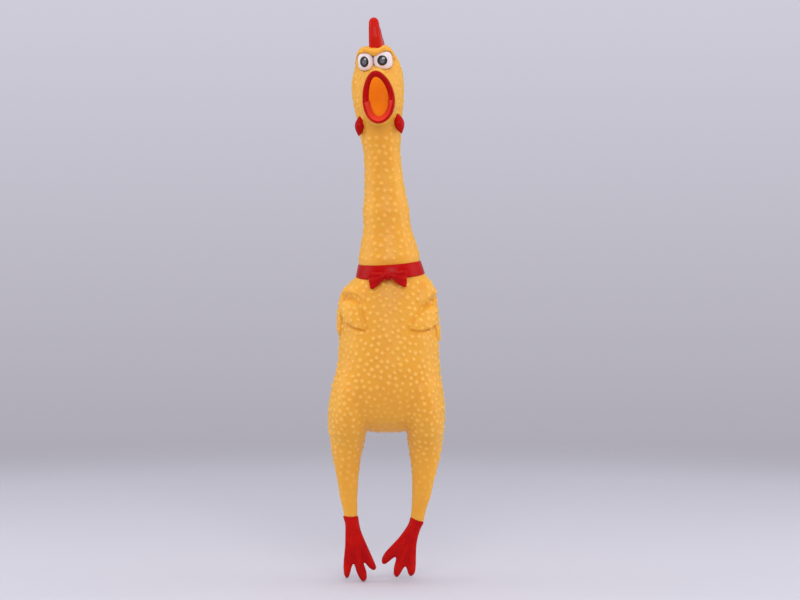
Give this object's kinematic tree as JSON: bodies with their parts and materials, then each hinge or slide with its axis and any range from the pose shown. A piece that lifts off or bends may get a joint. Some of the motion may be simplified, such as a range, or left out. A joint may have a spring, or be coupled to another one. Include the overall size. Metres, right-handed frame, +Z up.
{
  "type": "rubber chicken squeeze toy",
  "caption": "Hollow soft rubber chicken with a long neck and gaping beak that screams when squeezed; a clown and magic act prop.",
  "frame": {"origin": "centre of the bounding box at the level of the lowest toe tip", "axes": "+Z up from the toes to the comb, face toward -Y, the chicken's own left toward +X"},
  "size_m": [0.0826, 0.0654, 0.4],
  "materials": {
    "yellow_skin": "satin",
    "red_skin": "gloss",
    "eye_white": "gloss",
    "eye_black": "gloss",
    "whistle_plastic": "satin",
    "reed_film": "satin"
  },
  "bodies": {
    "body": {"torso_skin": "yellow_skin", "left_wing": "yellow_skin", "right_wing": "yellow_skin", "collar_band": "red_skin", "bow_knot": "red_skin", "left_bow_loop": "red_skin", "right_bow_loop": "red_skin", "neck_base": "yellow_skin"},
    "belly": {"belly_panel": "yellow_skin"},
    "neck": {"neck_skin": "yellow_skin", "whistle_barrel": "whistle_plastic", "whistle_cap": "whistle_plastic", "reed_bulkhead": "whistle_plastic", "reed_shallot": "whistle_plastic", "reed_wedge": "whistle_plastic"},
    "reed": {"reed_tongue": "reed_film"},
    "head": {"head_skin": "yellow_skin", "comb": "red_skin", "left_wattle": "red_skin", "right_wattle": "red_skin", "upper_beak_lip": "red_skin", "lower_beak_lip": "red_skin", "left_eye_white": "eye_white", "right_eye_white": "eye_white", "left_pupil": "eye_black", "right_pupil": "eye_black"},
    "left_leg": {"left_leg_skin": "yellow_skin"},
    "right_leg": {"right_leg_skin": "yellow_skin"},
    "left_foot": {"left_foot": "red_skin"},
    "right_foot": {"right_foot": "red_skin"}
  },
  "joints": [
    {"name": "neck_bend", "type": "hinge", "parent": "body", "child": "neck", "pos_m": [0.00094, -0.0012, 0.24994], "axis": [0.9978, 0, 0.0663], "range_deg": [-40, 40], "stiffness_Nm_per_rad": 0.3},
    {"name": "head_nod", "type": "hinge", "parent": "neck", "child": "head", "pos_m": [-0.0031, -0.0012, 0.3108], "axis": [0.9922, -0.0958, 0.0798], "range_deg": [-30, 30], "stiffness_Nm_per_rad": 0.15},
    {"name": "left_leg_swing", "type": "hinge", "parent": "body", "child": "left_leg", "pos_m": [0.0275, -0.0012, 0.09], "axis": [1, 0, 0], "range_deg": [-35, 35], "stiffness_Nm_per_rad": 0.08},
    {"name": "right_leg_swing", "type": "hinge", "parent": "body", "child": "right_leg", "pos_m": [-0.0275, -0.0012, 0.09], "axis": [1, 0, 0], "range_deg": [-35, 35], "stiffness_Nm_per_rad": 0.08},
    {"name": "left_foot_flex", "type": "hinge", "parent": "left_leg", "child": "left_foot", "pos_m": [0.0221, -0.0012, 0.0442], "axis": [0.9304, 0, -0.3665], "range_deg": [-30, 30], "stiffness_Nm_per_rad": 0.03},
    {"name": "right_foot_flex", "type": "hinge", "parent": "right_leg", "child": "right_foot", "pos_m": [-0.0249, -0.0012, 0.0455], "axis": [0.9829, 0, 0.184], "range_deg": [-30, 30], "stiffness_Nm_per_rad": 0.03},
    {"name": "belly_squeeze", "type": "slide", "parent": "body", "child": "belly", "axis": [0, 1, 0], "range_m": [0, 0.015], "stiffness_N_per_m": 200},
    {"name": "reed_beat", "type": "hinge", "parent": "neck", "child": "reed", "pos_m": [-0.00077, -0.0021, 0.27568], "axis": [0.9978, 0, 0.0663], "range_deg": [-2, 4], "stiffness_Nm_per_rad": 0.0001}
  ]
}
